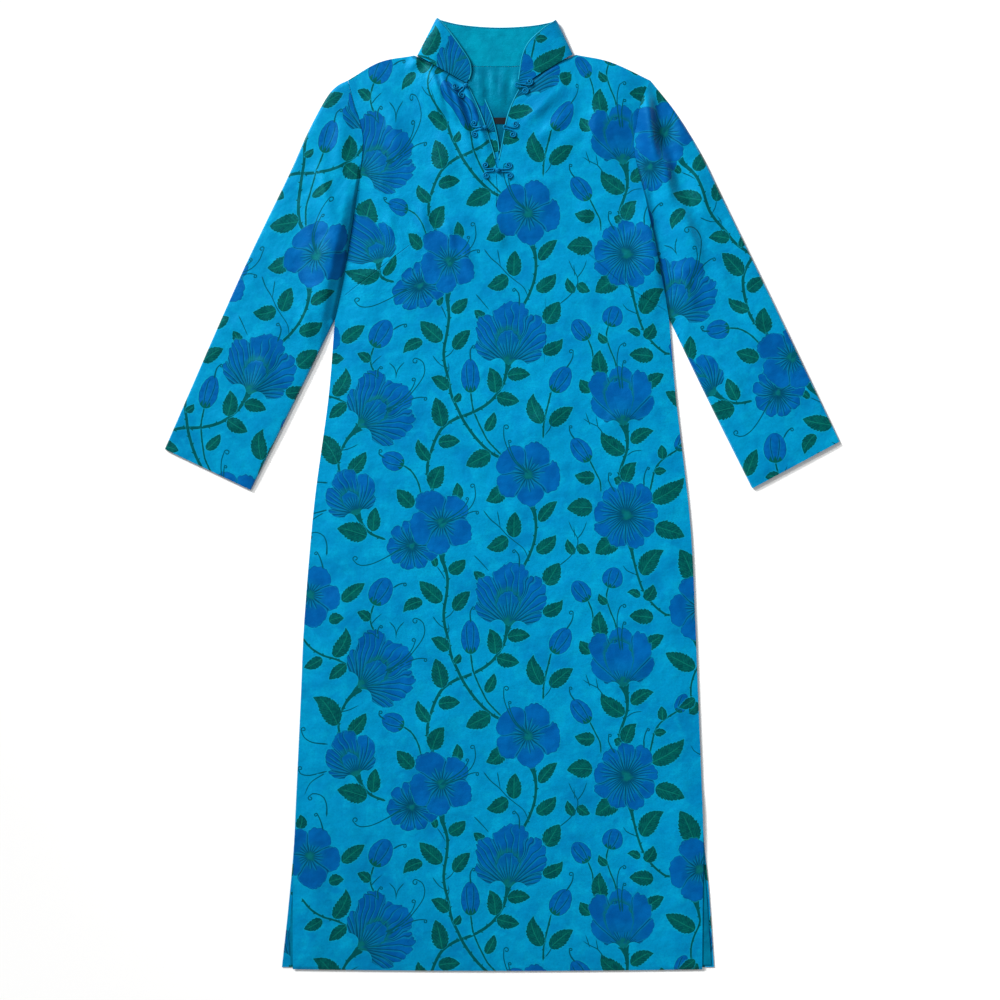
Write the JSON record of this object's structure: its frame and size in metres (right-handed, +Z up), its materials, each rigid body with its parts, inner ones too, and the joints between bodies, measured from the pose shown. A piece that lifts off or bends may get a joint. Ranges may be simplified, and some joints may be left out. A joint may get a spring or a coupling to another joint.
{
  "type": "cheongsam dress",
  "caption": "Long-sleeved cheongsam dress laid flat, with a stand collar, a neck slit closed by frog fasteners and a slit at each side of the hem",
  "frame": {"origin": "on the surface that the dress lies on, below the middle of its bounding box", "axes": "+X to the wearer's left sleeve, +Y from the hem to the collar, +Z up out of the front"},
  "size_m": [0.878, 1.2378, 0.0127],
  "materials": {
    "printed_satin": "blue satin printed with flowers, turquoise lining",
    "lining_satin": "plain turquoise satin",
    "piping_satin": "plain light turquoise satin",
    "cord_satin": "satin-covered cord",
    "label_ribbon": "black woven ribbon, blank"
  },
  "bodies": {
    "root": {"back_panel": "printed_satin", "front_panel": "printed_satin", "sleeve_right": "printed_satin", "sleeve_left": "printed_satin", "collar": "printed_satin", "neck_lining": "lining_satin", "neck_label": "label_ribbon", "underlap": "printed_satin", "slit_lining_right": "lining_satin", "slit_lining_left": "lining_satin", "collar_piping": "piping_satin", "opening_piping_right": "piping_satin", "opening_piping_left": "piping_satin", "underlap_piping": "piping_satin", "frog_top_right": "cord_satin", "frog_top_left": "cord_satin", "frog_middle_right": "cord_satin", "frog_middle_left": "cord_satin", "frog_bottom_right": "cord_satin", "frog_bottom_left": "cord_satin", "knot_top": "cord_satin", "knot_middle": "cord_satin", "knot_bottom": "cord_satin"}
  },
  "joints": []
}
